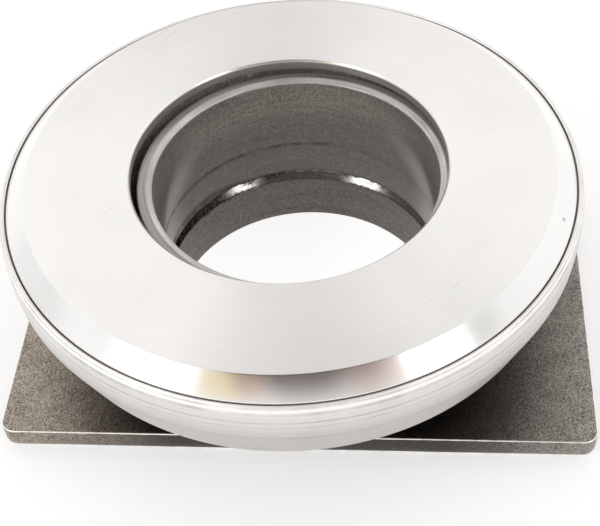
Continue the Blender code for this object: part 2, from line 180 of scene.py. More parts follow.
class Nodes:
    """Short ways to add and join the nodes of one tree."""

    def __init__(self, tree):
        self.tree = tree

    def put(self, socket, value):
        """Join an output to a socket, or set the socket's value."""
        if isinstance(value, bpy.types.NodeSocket):
            self.tree.links.new(value, socket)
        elif value is not None:
            socket.default_value = value

    def fill(self, node, **values):
        """Fill a node's inputs by name, with _ for a space."""
        for name, value in values.items():
            self.put(node.inputs[name.replace("_", " ")], value)

    def add(self, kind, *values, **named):
        """Add a node. Values fill its inputs in order, a capital name fills an input, others are settings."""
        node = self.tree.nodes.new(kind)
        for name in [k for k in named if k[0].islower()]:
            setattr(node, name, named.pop(name))
        self.fill(node, **named)
        for socket, value in zip(node.inputs, values):
            self.put(socket, value)
        return node

    def made(self, kind, *values, **named):
        """Add a node and give its first output."""
        return self.add(kind, *values, **named).outputs[0]

    def math(self, operation, *values):
        return self.made("ShaderNodeMath", *values, operation=operation)

    times = partialmethod(math, "MULTIPLY")
    times_plus = partialmethod(math, "MULTIPLY_ADD")
    over = partialmethod(math, "DIVIDE")
    plus = partialmethod(math, "ADD")
    minus = partialmethod(math, "SUBTRACT")
    most = partialmethod(math, "MAXIMUM")
    absolute = partialmethod(math, "ABSOLUTE")

    def spread(self, value, low, high, to_low=0.0, to_high=1.0, smooth=False):
        """Map a value from one range to another, clamped."""
        return self.made("ShaderNodeMapRange", interpolation_type="SMOOTHSTEP" if smooth else "LINEAR",
                         Value=value, From_Min=low, From_Max=high, To_Min=to_low, To_Max=to_high)

    def mix(self, factor, a, b):
        """Mix two colours."""
        node = self.add("ShaderNodeMix", factor, data_type="RGBA")
        self.put(node.inputs[6], a)
        self.put(node.inputs[7], b)
        return node.outputs[2]

    def blend(self, factor, a, b):
        """Mix two numbers."""
        return self.made("ShaderNodeMix", factor, None, a, b, data_type="FLOAT")

    def noise(self, vector, scale, detail=2.0, roughness=0.5, distortion=0.0):
        return self.made("ShaderNodeTexNoise", Vector=vector, Scale=scale, Detail=detail,
                         Roughness=roughness, Distortion=distortion)

    def combine(self, x, y, z):
        return self.made("ShaderNodeCombineXYZ", x, y, z)

    def split(self, vector):
        return self.add("ShaderNodeSeparateXYZ", vector).outputs

    def effect(self, name, **values):
        """Place a shared effect and give its outputs."""
        return self.add("ShaderNodeGroup", node_tree=EFFECTS[name], **values).outputs


def new_tree(kind, name, inputs, outputs):
    """An empty tree. Each input is named with its default number, or with its kind."""
    tree = bpy.data.node_groups.new(name, kind)
    for label, value in inputs.items():
        word = value if isinstance(value, str) else type(value).__name__.capitalize()
        socket = tree.interface.new_socket(label, in_out="INPUT", socket_type="NodeSocket" + word)
        if word != value:
            socket.default_value = value
    for label, word in outputs.items():
        tree.interface.new_socket(label, in_out="OUTPUT", socket_type="NodeSocket" + word)
    n = Nodes(tree)
    return n, n.add("NodeGroupInput").outputs, n.add("NodeGroupOutput")


def new_effect(name, inputs, *outputs):
    """An empty shader group. Its outputs are numbers, but for Around, which is a vector."""
    kinds = {label: "Vector" if label == "Around" else "Float" for label in outputs}
    return new_tree("ShaderNodeTree", name, inputs, kinds)


# ---- shared effects

def turned_place_effect():
    """Radius, angle round the axis in degrees and height of a point on a turned piece."""
    n, given, out = new_effect("turned_place", {"Point": "Vector"}, "Radius", "Angle", "Height", "Around")
    x, y, z = n.split(given["Point"])
    radius = n.math("SQRT", n.plus(n.times(x, x), n.times(y, y)))
    n.fill(out, Radius=radius, Angle=n.math("DEGREES", n.math("ARCTAN2", y, x)), Height=z,
           Around=n.combine(n.over(x, radius), n.over(y, radius), 0.0))
    return n.tree


def turning_marks_effect():
    """Tool marks that run round a piece: Across is the distance across them, Broad the share of wide ones."""
    n, given, out = new_effect("turning_marks", {
        "Across": 0.0, "Around": "Vector", "Pitch": 0.0002, "Broad": 0.5, "Seed": 0.0}, "Height", "Tone")
    x, y, _ = n.split(given["Around"])
    across = n.over(given["Across"], given["Pitch"])
    fine = n.combine(n.plus(across, given["Seed"]), n.times(x, 1.6), n.times(y, 1.6))
    wide = n.combine(n.times_plus(across, 0.16, given["Seed"]), n.times(x, 0.8), n.times(y, 0.8))
    fine_marks, wide_marks = n.noise(fine, 1.0, 3.0, 0.65), n.noise(wide, 1.0)
    n.fill(out, Height=n.times_plus(wide_marks, given["Broad"], fine_marks),
           Tone=n.spread(n.blend(given["Broad"], fine_marks, wide_marks), 0.3, 0.7))
    return n.tree


def worn_edge_effect():
    """Bright wear along edges, broken up by a grain. Edge is 1 on a rounded outer edge."""
    n, given, out = new_effect("worn_edge", {
        "Edge": 0.0, "Point": "Vector", "Grain": 900.0, "Amount": 0.7}, "Wear")
    grain = n.noise(given["Point"], given["Grain"], 4.0, 0.6)
    reach = n.minus(1.0, given["Amount"])
    ragged = n.times_plus(n.minus(grain, 0.5), 0.9, given["Edge"])
    n.fill(out, Wear=n.times(n.spread(ragged, reach, n.plus(reach, 0.3), smooth=True),
                             n.spread(given["Edge"], 0.02, 0.2)))
    return n.tree


def scratches_effect():
    """Sparse hairline scratches at one slant."""
    n, given, out = new_effect("scratches", {
        "Point": "Vector", "Slant": 0.5, "Density": 0.5, "Length": 0.02}, "Scratch")
    x, y, z = n.split(n.made("ShaderNodeVectorRotate", rotation_type="Z_AXIS",
                             Vector=given["Point"], Angle=given["Slant"]))
    hair = n.noise(n.combine(n.over(x, given["Length"]), n.times(y, 2200.0), z), 1.0, 0.0, distortion=0.1)
    patch = n.noise(given["Point"], 60.0, 1.0)
    cut = n.minus(0.86, n.times(given["Density"], 0.12))
    n.fill(out, Scratch=n.times(n.spread(hair, cut, n.plus(cut, 0.06)), n.spread(patch, 0.52, 0.66)))
    return n.tree


def nicks_effect():
    """Small dents and chips, one to a few cells of a loose grid."""
    n, given, out = new_effect("nicks", {
        "Point": "Vector", "Spacing": 0.004, "Size": 0.0003, "Chance": 0.15}, "Nick")
    scale = n.over(1.0, given["Spacing"])
    grid = n.made("ShaderNodeVectorMath", given["Point"], operation="SCALE", Scale=scale)
    cells = n.add("ShaderNodeTexVoronoi", feature="F1", Vector=grid, Scale=1.0).outputs
    luck, size, _ = n.add("ShaderNodeSeparateColor", cells["Color"]).outputs
    reach = n.times(n.over(given["Size"], given["Spacing"]), n.plus(size, 0.4))
    n.fill(out, Nick=n.times(n.math("LESS_THAN", luck, given["Chance"]),
                             n.spread(cells["Distance"], reach, 0.0)))
    return n.tree


def crystal_grain_effect():
    """The speckle of a dull coat: tone from 0 to 1, sparkles and height."""
    n, given, out = new_effect("crystal_grain", {
        "Point": "Vector", "Grain": 2600.0}, "Tone", "Sparkle", "Height")
    point, grain = given["Point"], given["Grain"]
    fine = n.noise(point, grain, 2.0, 0.8)
    cells = n.add("ShaderNodeTexVoronoi", feature="F1", Vector=point, Scale=n.times(grain, 1.2)).outputs
    luck, tone, _ = n.add("ShaderNodeSeparateColor", cells["Color"]).outputs
    patch = n.noise(point, n.times(grain, 0.06), 3.0)
    speck = n.blend(0.5, n.spread(fine, 0.32, 0.68), tone)
    n.fill(out, Tone=n.blend(0.12, speck, n.spread(patch, 0.3, 0.7)),
           Sparkle=n.times(n.math("GREATER_THAN", luck, 0.93), n.spread(cells["Distance"], 0.5, 0.1)),
           Height=n.times_plus(cells["Distance"], 0.5, fine))
    return n.tree


def grime_effect():
    """Oil and dust that gather in corners and in patches."""
    n, given, out = new_effect("grime", {
        "Point": "Vector", "Crease": 0.0, "Patch Size": 120.0, "Amount": 0.3}, "Grime")
    cloud = n.noise(given["Point"], given["Patch Size"], 5.0, 0.6)
    n.fill(out, Grime=n.most(n.times(given["Crease"], n.spread(cloud, 0.25, 0.6)),
                             n.times(n.spread(cloud, 0.5, 0.75), given["Amount"])))
    return n.tree


def band_effect():
    """1 where a value lies between two others, with soft sides."""
    n, given, out = new_effect("band", {"Value": 0.0, "From": 0.0, "To": 1.0, "Soft": 0.1}, "Inside")
    value, start, end, soft = given["Value"], given["From"], given["To"], given["Soft"]
    rise = n.spread(value, n.minus(start, soft), n.plus(start, soft), smooth=True)
    fall = n.spread(value, n.minus(end, soft), n.plus(end, soft), 1.0, 0.0, True)
    n.fill(out, Inside=n.times(rise, fall))
    return n.tree


EFFECTS = {
    "place": turned_place_effect(),
    "marks": turning_marks_effect(),
    "edge": worn_edge_effect(),
    "scratches": scratches_effect(),
    "nicks": nicks_effect(),
    "crystal": crystal_grain_effect(),
    "grime": grime_effect(),
    "band": band_effect(),
}


# ---- finishes

def grey(level, warm=0.0):
    """A grey, a little warmer if asked."""
    return (level, level * (1 - 0.5 * warm), level * (1 - warm), 1)


class Finish(Nodes):
    """A material in the making, its pattern centred on the piece's axis, its plain values on the shader."""

    def __init__(self, name, axis_x=0.0, **plain):
        self.material = bpy.data.materials.new(name)
        self.material.use_nodes = True
        super().__init__(self.material.node_tree)
        self.shader = self.tree.nodes["Principled BSDF"]
        self.fill(self.shader, **plain)
        place = self.add("ShaderNodeTexCoord").outputs["Object"]
        self.point = self.made("ShaderNodeMapping", Vector=place, Location=(-axis_x, 0.0, 0.0))

    def turned(self, across):
        """Draw the gloss out across marks that run round the piece."""
        tangent = self.made("ShaderNodeTangent", direction_type="RADIAL", axis="Z")
        self.fill(self.shader, Anisotropic=across, Anisotropic_Rotation=0.25, Tangent=tangent)
        self.radius, self.angle, self.height, self.around = self.effect("place", Point=self.point)
        return self

    def marks(self, across, pitch, broad, seed):
        """Height and tone of turning marks."""
        return self.effect("marks", Across=across, Around=self.around, Pitch=pitch, Broad=broad, Seed=seed)

    def stored(self, name):
        """A value stored on the piece's own points."""
        return self.add("ShaderNodeAttribute", attribute_name=name).outputs["Fac"]

    def grime(self, patch, amount):
        return self.effect("grime", Point=self.point, Crease=self.stored("crease"),
                           Patch_Size=patch, Amount=amount)[0]

    def wear(self, grain, amount, edge=None):
        return self.effect("edge", Edge=edge or self.stored("wear"), Point=self.point,
                           Grain=grain, Amount=amount)[0]

    def crystal(self, grain):
        """Tone, sparkle and height of a dull coat."""
        return self.effect("crystal", Point=self.point, Grain=grain)

    def nicks(self, spacing, size, chance):
        return self.effect("nicks", Point=self.point, Spacing=spacing, Size=size, Chance=chance)[0]

    def scratches(self, *sets):
        """Hairlines in two sets, each with its slant, density and length."""
        return self.most(*(self.effect("scratches", Point=self.point, Slant=slant, Density=density,
                                       Length=length)[0] for slant, density, length in sets))

    def band(self, value, low, high, soft):
        """1 between two values."""
        return self.effect("band", Value=value, From=low, To=high, Soft=soft)[0]

    def coats(self, colour, *coats):
        """Lay coats over a colour, each with its mask, weight and colour."""
        for mask, weight, top in coats:
            colour = self.mix(mask if weight == 1 else self.times(mask, weight), colour, top)
        return colour

    def oiled(self, light, dark):
        """Dark oxidised turned steel with worn edges and oily corners: colour, roughness and height."""
        marks, streak = self.marks(self.height, 0.0005, 0.4, 27.0)
        speck, _, rise = self.crystal(2300.0)
        grime, wear = self.grime(140.0, 0.3), self.wear(900.0, 0.85)
        tone = self.blend(0.7, streak, speck)
        colour = self.coats(self.mix(tone, dark, light), (grime, 0.6, (0.05, 0.045, 0.04, 1)),
                            (wear, 0.8, grey(0.6, 0.08)))
        gloss = self.blend(grime, self.spread(tone, 0.0, 1.0, 0.34, 0.46), 0.24)
        return colour, self.blend(wear, gloss, 0.3), self.times_plus(rise, 0.5, marks)

    def done(self, colour, rough, height, strength, distance):
        """Join the shader up and give the material."""
        bump = self.made("ShaderNodeBump", Strength=strength, Distance=distance, Height=height)
        self.fill(self.shader, Base_Color=colour, Roughness=rough, Normal=bump)
        return self.material


def thrust_steel():
    """Fine turned face, polished chamfer and hole edge, darker brown-grey walls in the hole and the gap."""
    radius, _, high = outline("thrust_ring")
    chamfer, edge_z = radius - RING_CHAMFER_WIDTH, high - RING_CHAMFER_HEIGHT
    hole_edge = HOLE_RADIUS + RING_HOLE_BREAK
    f = Finish("thrust_steel", UNIT_X, Metallic=1.0).turned(0.8)
    marks, tone = f.marks(f.radius, 0.00026, 0.22, 3.0)
    polished = f.spread(f.radius, chamfer - 0.0001, chamfer + 0.0001, smooth=True)
    hole_break = f.spread(f.radius, hole_edge + 0.00006, hole_edge - 0.00006)
    in_hole = f.spread(f.radius, HOLE_RADIUS + 0.0002, HOLE_RADIUS + 0.00004)
    in_gap = f.spread(f.height, edge_z - 0.00002, edge_z - 0.0002)
    nick = f.nicks(0.011, 0.0004, 0.3)
    mark = f.most(f.scratches((0.7, 0.75, 0.006), (-0.9, 0.65, 0.008)), nick)
    cloud = f.noise(f.point, 55.0, 4.0)
    colour = f.coats(
        f.mix(tone, grey(0.89, 0.045), grey(0.94, 0.045)),
        (f.spread(cloud, 0.45, 0.72, 0.0, 0.22), 1, grey(0.74, 0.04)),
        (mark, 0.18, grey(0.40, 0.05)),
        (polished, 1, f.mix(f.spread(cloud, 0.4, 0.7), grey(0.95, 0.01), grey(0.88, 0.03))),
        (nick, 0.7, grey(0.16, 0.1)),
        (in_gap, 1, (0.46, 0.39, 0.34, 1)),
        (in_hole, 1, (0.34, 0.325, 0.305, 1)))
    rough = f.blend(polished, f.spread(tone, 0.0, 1.0, 0.36, 0.44), f.spread(cloud, 0.3, 0.7, 0.15, 0.22))
    rough = f.blend(f.most(in_hole, in_gap), f.blend(hole_break, rough, 0.26), 0.5)
    calm = f.minus(1.0, f.times(polished, 0.85))
    return f.done(colour, rough, f.times(f.minus(marks, f.times(mark, 1.2)), calm), 0.10, 0.00005)


def shell_steel():
    """Turned outer shell, satin, with long faint streaks, painted darker on the taper below the band as shade
    and lighter along the lip as a highlight.
    """
    radius, low, high = outline("housing_shell")
    taper_z = low + SHELL_TAPER_HEIGHT
    lip_bore = radius - SHELL_LIP_WALL + GAP_RELIEF
    f = Finish("shell_steel", UNIT_X, Metallic=1.0).turned(0.25)
    marks, streak = f.marks(f.height, 0.00055, 0.5, 11.0)
    speck, sparkle, rise = f.crystal(2300.0)
    lip = f.spread(f.height, high - 0.0020, high - 0.0008)
    wear = f.wear(700.0, 0.8, f.times(f.stored("wear"), lip))
    # Painted shade: below the band the taper is coloured darker, for the shaded floor that it faces.
    upper = f.spread(f.height, taper_z - 0.0005, taper_z + SHELL_BAND_HEIGHT + 0.0012)
    in_gap = f.times(f.spread(f.height, high - 0.006, high - 0.005),
                     f.spread(f.radius, lip_bore + 0.0001, lip_bore))
    tone = f.blend(0.5, streak, speck)
    colour = f.coats(
        f.mix(upper, f.mix(tone, grey(0.53, 0.08), grey(0.60, 0.07)),
              f.mix(tone, grey(0.70, 0.05), grey(0.79, 0.04))),
        # Sparkles of the grain painted as bright glints.
        (sparkle, 0.15, grey(0.97, 0.02)),
        # Painted highlight: the lip's band is coloured lighter.
        (lip, 0.8, grey(0.99, 0.02)),
        (wear, 1, grey(0.93, 0.03)),
        (f.grime(150.0, 0.16), 0.55, (0.30, 0.27, 0.24, 1)),
        (f.nicks(0.008, 0.0003, 0.3), 0.6, grey(0.28, 0.1)),
        (in_gap, 1, (0.40, 0.34, 0.30, 1)))
    rough = f.blend(wear, f.spread(tone, 0.0, 1.0, 0.46, 0.56), 0.3)
    return f.done(colour, rough, f.times_plus(marks, 0.45, rise), 0.16, 0.00010)


def sleeve_steel():
    """Honed dark bore, darker towards the bottom, with painted streaks of reflected light, an oil line and a
    foot dark with oil and painted shade; a bright worn rim cone with painted shade on its far side, and a brown
    land.
    """
    radius, low, high = outline("sleeve")
    rim = radius - SLEEVE_WALL + SLEEVE_RIM_WIDTH
    cone_z, oil_z = high - SLEEVE_RIM_DROP, low + OIL_LINE_HEIGHT
    f = Finish("sleeve_steel", Metallic=0.6).turned(0.7)
    r, angle, z = f.radius, f.angle, f.height
    colour, rough, height = f.oiled((0.40, 0.36, 0.32, 1), (0.05, 0.041, 0.036, 1))
    # Darker towards the bottom of the bore.
    darker_below = f.spread(z, high - 0.004, (low + high) / 2, 0.0, 0.5, True)
    # Painted reflections in the honed bore: pale streaks to each side of it, and a paler upper part towards the
    # sides.
    aside = f.absolute(f.minus(angle, SHEEN_MIDDLE))
    ridge = f.spread(z, low + 0.007, high - 0.008, SHEEN_LOW, SHEEN_HIGH)
    streak = f.times(f.spread(aside, f.minus(ridge, 25.0), ridge, smooth=True),
                     f.spread(aside, ridge, f.plus(ridge, 8.0), 1.0, 0.25, True))
    streak = f.times(streak, f.spread(z, high - 0.005, high - 0.013, 0.0, 0.85, True))
    side = f.times(f.spread(aside, 40.0, 78.0, 0.0, 0.28), f.spread(z, high - 0.012, high - 0.004))
    cloud = f.noise(f.point, 420.0, 3.0)
    dark_band = f.times(f.band(z, oil_z - 0.0005, oil_z + 0.0003, 0.0004), f.spread(cloud, 0.35, 0.62, 0.2, 0.75))
    dark_band = f.times(dark_band, f.spread(angle, 40.0, 85.0, 0.25, 1.0))
    # Dark foot of the sleeve, wider on the far left: an oil smear and painted shade of the joint with the hub.
    foot_z = f.spread(angle, 118.0, 138.0, low + 0.0009, low + 0.0024)
    foot = f.times(f.spread(z, foot_z, f.minus(foot_z, 0.0010)), f.spread(cloud, 0.3, 0.6, 0.4, 1.0))
    ring = f.marks(r, 0.00030, 0.3, 8.0)["Tone"]
    slow = f.spread(f.noise(f.point, 110.0, 3.0), 0.3, 0.7)
    cone = f.times(f.spread(z, cone_z - 0.0003, cone_z), f.spread(r, rim + 0.0001, rim - 0.0001))
    land = f.times(f.spread(z, high - 0.0004, high - 0.0002), f.spread(r, rim - 0.0001, rim + 0.0001))
    shade = f.spread(f.absolute(angle), 150.0, 180.0, 1.0, 0.5)
    colour = f.coats(
        colour,
        (darker_below, 1, (0.085, 0.074, 0.066, 1)),
        (f.most(streak, side), 1, (0.50, 0.465, 0.43, 1)),
        (f.most(dark_band, foot), 1, (0.035, 0.03, 0.028, 1)),
        (cone, 1, f.mix(f.times(f.blend(0.65, slow, ring), shade), grey(0.22, 0.08), grey(0.86, 0.06))),
        (land, 0.8, f.mix(ring, (0.17, 0.15, 0.135, 1), (0.62, 0.58, 0.53, 1))))
    return f.done(colour, f.blend(f.most(cone, land), rough, 0.34), height, 0.3, 0.00008)


def hub_steel():
    """Dark hub whose lead-in cone is darkened at the top by oil and painted shade, and painted with highlights
    on two arcs.
    """
    sleeve, low, _ = outline("sleeve")
    seat_z = low - FIT_GAP
    f = Finish("hub_steel").turned(0.7)
    colour, rough, height = f.oiled((0.25, 0.222, 0.20, 1), (0.035, 0.029, 0.026, 1))
    cloud = f.noise(f.point, 380.0, 4.0, 0.65)
    # Dark band at the top of the lead-in cone, below the sleeve's foot: an oil smear and painted shade of the
    # joint.
    foot_z = f.minus(seat_z - 0.0010, f.times(f.spread(f.angle, 95.0, 125.0), 0.0016))
    edge = f.times_plus(f.minus(cloud, 0.5), 0.0022, f.height)
    dark_band = f.times(f.spread(edge, foot_z, f.plus(foot_z, 0.0005)), f.spread(f.radius, sleeve + 0.0004, sleeve))
    fleck = f.spread(f.noise(f.point, 1500.0), 0.45, 0.7, 0.0, 0.6)
    # Painted highlight: two streaky arcs of the lead-in cone are coloured bright and made less metallic.
    arcs = f.most(*(f.band(f.angle, start, end, 6.0) for start, end in GLINT_ARCS))
    on_cone = f.band(edge, seat_z - HUB_LEAD_HEIGHT + 0.0001, seat_z - 0.0009, 0.0002)
    streak = f.noise(f.combine(f.times(f.angle, 0.10), 0.0, f.times(f.height, 1900.0)), 1.0)
    pale_patches = f.times(f.times(arcs, on_cone), f.spread(streak, 0.33, 0.46))
    colour = f.coats(colour, (dark_band, 1, f.mix(fleck, (0.02, 0.016, 0.016, 1), (0.16, 0.14, 0.13, 1))),
                     (pale_patches, 1, grey(0.74, 0.05)))
    f.fill(f.shader, Metallic=f.blend(pale_patches, 0.6, 1.0))
    rough = f.blend(pale_patches, f.blend(dark_band, rough, 0.18), 0.28)
    return f.done(colour, rough, f.times_plus(cloud, 1.2, height), 0.35, 0.00009)


def neck_steel():
    """Neck painted pale as a stand-in for light in the shaded gap, with drops of grease painted as bright
    glints.
    """
    f = Finish("neck_steel", UNIT_X, Metallic=0.2).turned(0.4)
    # Painted light: the neck is coloured pale so that it shows in the shade of the gap.
    colour, rough, height = f.oiled((0.90, 0.84, 0.78, 1), (0.20, 0.17, 0.155, 1))
    # Drops of grease painted as bright glints.
    grease_glint = f.spread(f.noise(f.point, 900.0), 0.62, 0.68)
    return f.done(f.mix(grease_glint, colour, grey(0.95, 0.04)), f.blend(grease_glint, rough, 0.12),
                  f.times_plus(grease_glint, 1.5, height), 0.5, 0.00012)


def plate_steel():
    """Dull grey-brown speckled plate, painted darker by the shell as its shade, with scuffs, chips, painted
    glints and bright worn edges.
    """
    f = Finish("plate_steel", Metallic=1.0)
    speck, sparkle, rise = f.crystal(4200.0)
    x, y, _ = f.split(f.point)
    # Painted shade: the plate is coloured darker towards the shell, as under its overhang.
    out = f.times_plus(f.absolute(y), 0.25, f.absolute(f.minus(x, 0.003)))
    shell_shade = f.spread(f.times_plus(f.noise(f.point, 60.0, 3.0), 0.008, out), 0.034, 0.062, 0.87, 0.0, True)
    wear = f.wear(700.0, 0.62)
    scuff = f.scratches((1.45, 0.9, 0.006), (0.35, 0.8, 0.006))
    # Sparkles of the grain painted as bright glints, with bright chips, fewer in the painted shade.
    glint = f.times(f.most(sparkle, f.nicks(0.003, 0.00022, 0.2)), f.minus(0.9, shell_shade))
    pale_patches = f.noise(f.point, 90.0, 4.0, 0.65)
    tone = f.spread(speck, 0.2, 0.8)
    colour = f.coats(
        f.mix(tone, (0.09, 0.077, 0.064, 1), (0.56, 0.485, 0.405, 1)),
        (f.spread(pale_patches, 0.45, 0.75, 0.0, 0.15), 1, (0.34, 0.31, 0.27, 1)),
        (f.spread(x, 0.0, 0.04, 0.0, 0.6), 1,
         f.mix(tone, (0.06, 0.058, 0.055, 1), (0.43, 0.415, 0.385, 1))),
        (shell_shade, 1, (0.035, 0.030, 0.028, 1)),
        (f.grime(70.0, 0.25), 0.45, (0.14, 0.115, 0.10, 1)),
        (scuff, 0.3, grey(0.62, 0.06)),
        (glint, 1, grey(0.85, 0.05)),
        (wear, 1, grey(0.92, 0.04)))
    rough = f.blend(wear, f.spread(speck, 0.0, 1.0, 0.24, 0.40), 0.3)
    return f.done(colour, rough, f.times_plus(pale_patches, 1.5, rise), 0.35, 0.00010)


def bright_ground(name, base, rough):
    """Ground or pressed bright steel."""
    f = Finish(name, UNIT_X, Metallic=1.0).turned(0.35)
    marks, tone = f.marks(f.plus(f.height, f.radius), 0.0004, 0.4, 5.0)
    dark = tuple(0.72 * c for c in base)
    colour = f.coats(f.mix(tone, dark + (1,), base + (1,)),
                     (f.grime(150.0, 0.25), 0.6, (0.10, 0.09, 0.08, 1)),
                     (f.wear(800.0, 0.8), 1, grey(0.85, 0.03)))
    return f.done(colour, f.spread(tone, 0.0, 1.0, rough, rough + 0.12), marks, 0.2, 0.00008)


def moulded_polyamide():
    """Tan moulded plastic with a faint mottle."""
    f = Finish("cage_polyamide", UNIT_X)
    mottle = f.noise(f.point, 260.0, 4.0)
    return f.done(f.mix(mottle, (0.42, 0.33, 0.20, 1), (0.62, 0.52, 0.36, 1)),
                  f.spread(mottle, 0.3, 0.7, 0.42, 0.58), f.noise(f.point, 2600.0), 0.2, 0.00006)


# ---- growing pieces

def link(name, data):
    """A new object in the scene."""
    thing = bpy.data.objects.new(name, data)
    bpy.context.scene.collection.objects.link(thing)
    return thing


def new_shape(name, inputs):
    """An empty geometry tree that takes a material too."""
    return new_tree("GeometryNodeTree", name, {**inputs, "Material": "Material"}, {"Piece": "Geometry"})


def end_shape(n, given, out, mesh):
    """Smooth, realise and paint a tree's mesh, and give it out."""
    real = n.made("GeometryNodeRealizeInstances", n.made("GeometryNodeSetShadeSmooth", mesh))
    n.put(out.inputs[0], n.made("GeometryNodeSetMaterial", Geometry=real, Material=given["Material"]))
    return n.tree


def turned_tree():
    """Turns a flat profile round Z, with waves in its height if asked."""
    n, given, out = new_shape("turned_piece", {
        "Profile": "Geometry", "Steps": TURN_STEPS, "Axis X": 0.0, "Wave Height": 0.0, "Waves": SPRING_WAVES})
    steps = given["Steps"]
    size = n.add("GeometryNodeAttributeDomainSize", given["Profile"], component="MESH")
    count = size.outputs["Point Count"]
    rows = n.plus(steps, 1.0)
    grid = n.add("GeometryNodeMeshGrid", Vertices_X=n.plus(count, 1.0), Vertices_Y=rows).outputs
    index = n.made("GeometryNodeInputIndex")
    column = n.math("MODULO", n.math("FLOOR", n.over(n.plus(index, 0.25), rows)), count)
    angle = n.times(n.over(n.math("MODULO", index, rows), steps), math.tau)

    def sampled(kind, value):
        return n.made("GeometryNodeSampleIndex", data_type=kind, domain="POINT",
                      Geometry=given["Profile"], Value=value, Index=column)

    def store(mesh, kind, domain, name, value):
        return n.made("GeometryNodeStoreNamedAttribute", data_type=kind, domain=domain,
                      Name=name, Geometry=mesh, Value=value)

    radius, _, height = n.split(sampled("FLOAT_VECTOR", n.made("GeometryNodeInputPosition")))
    wave = n.times(given["Wave Height"], n.math("COSINE", n.times(angle, given["Waves"])))
    place = n.combine(n.times_plus(radius, n.math("COSINE", angle), given["Axis X"]),
                      n.times(radius, n.math("SINE", angle)), n.plus(height, wave))
    mesh = grid["Mesh"]
    for label in ("wear", "crease"):
        value = n.made("GeometryNodeInputNamedAttribute", data_type="FLOAT", Name=label)
        mesh = store(mesh, "FLOAT", "POINT", label, sampled("FLOAT", value))
    mesh = store(mesh, "FLOAT2", "CORNER", "UVMap", grid["UV Map"])
    mesh = n.made("GeometryNodeSetPosition", Geometry=mesh, Position=place)
    mesh = n.made("GeometryNodeMergeByDistance", Geometry=mesh, Distance=MERGE_DISTANCE)
    return end_shape(n, given, out, mesh)


TURNED = turned_tree()


def grow(name, mesh, tree, values):
    """Run a tree over a mesh and keep its result as a plain piece."""
    blank = link(name + "_blank", mesh)
    modifier = blank.modifiers.new("grow", "NODES")
    modifier.node_group = tree
    for item in tree.interface.items_tree:
        if item.in_out == "INPUT" and item.name in values:
            modifier[item.identifier] = values[item.name]
    bpy.context.view_layer.update()
    graph = bpy.context.evaluated_depsgraph_get()
    result = bpy.data.meshes.new_from_object(blank.evaluated_get(graph))
    bpy.data.objects.remove(blank, do_unlink=True)
    result.name = name
    result.set_sharp_from_angle(angle=math.radians(SHARP_ANGLE))
    return link(name, result)


def rounded(corners, steps=5):
    """A closed profile's points with wear and crease values. Corners are (radius, height, fillet)."""
    points = []
    for i, (x, z, fillet) in enumerate(corners):
        here = Vector((x, z))
        back = Vector(corners[i - 1][:2]) - here
        ahead = Vector(corners[(i + 1) % len(corners)][:2]) - here
        reach = min(fillet, 0.45 * back.length, 0.45 * ahead.length)
        outer = back.x * ahead.y < back.y * ahead.x
        start, end = here + back.normalized() * reach, here + ahead.normalized() * reach
        for t in (k / steps for k in range(steps + 1)):
            at = start * (1 - t) ** 2 + here * 2 * t * (1 - t) + end * t ** 2
            edge = math.sin(math.pi * t) if fillet > TINY_FILLET else 0.0
            points.append((at.x, at.y, edge if outer else 0.0, 0.0 if outer else edge))
    return points


def profile_mesh(name, points):
    """A mesh of the profile's points that a turned piece is grown from."""
    mesh = bpy.data.meshes.new(name + "_profile")
    edges = [(i, (i + 1) % len(points)) for i in range(len(points))]
    mesh.from_pydata([(x, 0.0, z) for x, z, _, _ in points], edges, [])
    for label, column in (("wear", 2), ("crease", 3)):
        layer = mesh.attributes.new(label, "FLOAT", "POINT")
        layer.data.foreach_set("value", [p[column] for p in points])
    return mesh


def settle(piece, body, node):
    """Ride a piece on its body, in place of its fixed node."""
    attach(piece, body)
    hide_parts(node)
    return piece


def turn(name, corners, material, body, node, slot, axis_x=UNIT_X, **waves):
    """A turned piece that stands for a fixed node."""
    values = {"Steps": TURN_STEPS, "Axis X": axis_x, "Material": material, **waves}
    piece = grow(name, profile_mesh(name, rounded(corners)), TURNED, values)
    return settle(piece, body, node)


# ---- turned pieces

def ring_groove(first):
    """Corners of a race's ball groove, half a turn from the first angle."""
    radius = BALL_RADIUS + BALL_GAP
    edge = math.asin(LAND_OFFSET / radius)
    angles = [first + edge + (math.pi - 2 * edge) * i / GROOVE_STEPS for i in range(GROOVE_STEPS + 1)]
    return [(PITCH_RADIUS + radius * math.cos(a), BALL_Z + radius * math.sin(a), 0.0001) for a in angles]


def crowned(start, end, crown, steps=8):
    """Corners of a slightly arched face between two corners, without its ends."""
    run, rise = end[0] - start[0], end[1] - start[1]
    corners = []
    for t in (i / steps for i in range(1, steps)):
        out = 4 * crown * t * (1 - t) / math.hypot(run, rise)
        corners.append((start[0] + run * t - rise * out, start[1] + rise * t + run * out, 0.0003))
    return corners


def make_thrust_ring(finish):
    radius, low, high = outline("thrust_ring")
    neck = outline("housing_neck")[0]
    lip_z, shoulder_z = high - RING_LIP_THICKNESS, low + RING_SHOULDER_HEIGHT
    shoulder, undercut = neck + RUNNING_GAP, neck + SNAP_RING_REACH + RUNNING_GAP
    face, edge = (radius - RING_CHAMFER_WIDTH, high), (radius, high - RING_CHAMFER_HEIGHT)
    corners = [
        (*face, 0.00010), *crowned(face, edge, RING_CHAMFER_CROWN), (*edge, 0.00022),
        (radius, low, 0.00025), *ring_groove(0.0), (shoulder, low, 0.0002),
        (shoulder, shoulder_z, 0.0002), (undercut, shoulder_z, 0.0002), (undercut, lip_z, 0.0002),
        (HOLE_RADIUS, lip_z, 0.00012), (HOLE_RADIUS, high - RING_HOLE_BREAK, 0.00008),
        (HOLE_RADIUS + RING_HOLE_BREAK, high, 0.00008)]
    turn("thrust_ring_turned", corners, finish, "thrust_ring", "thrust_ring", "thrust_steel")


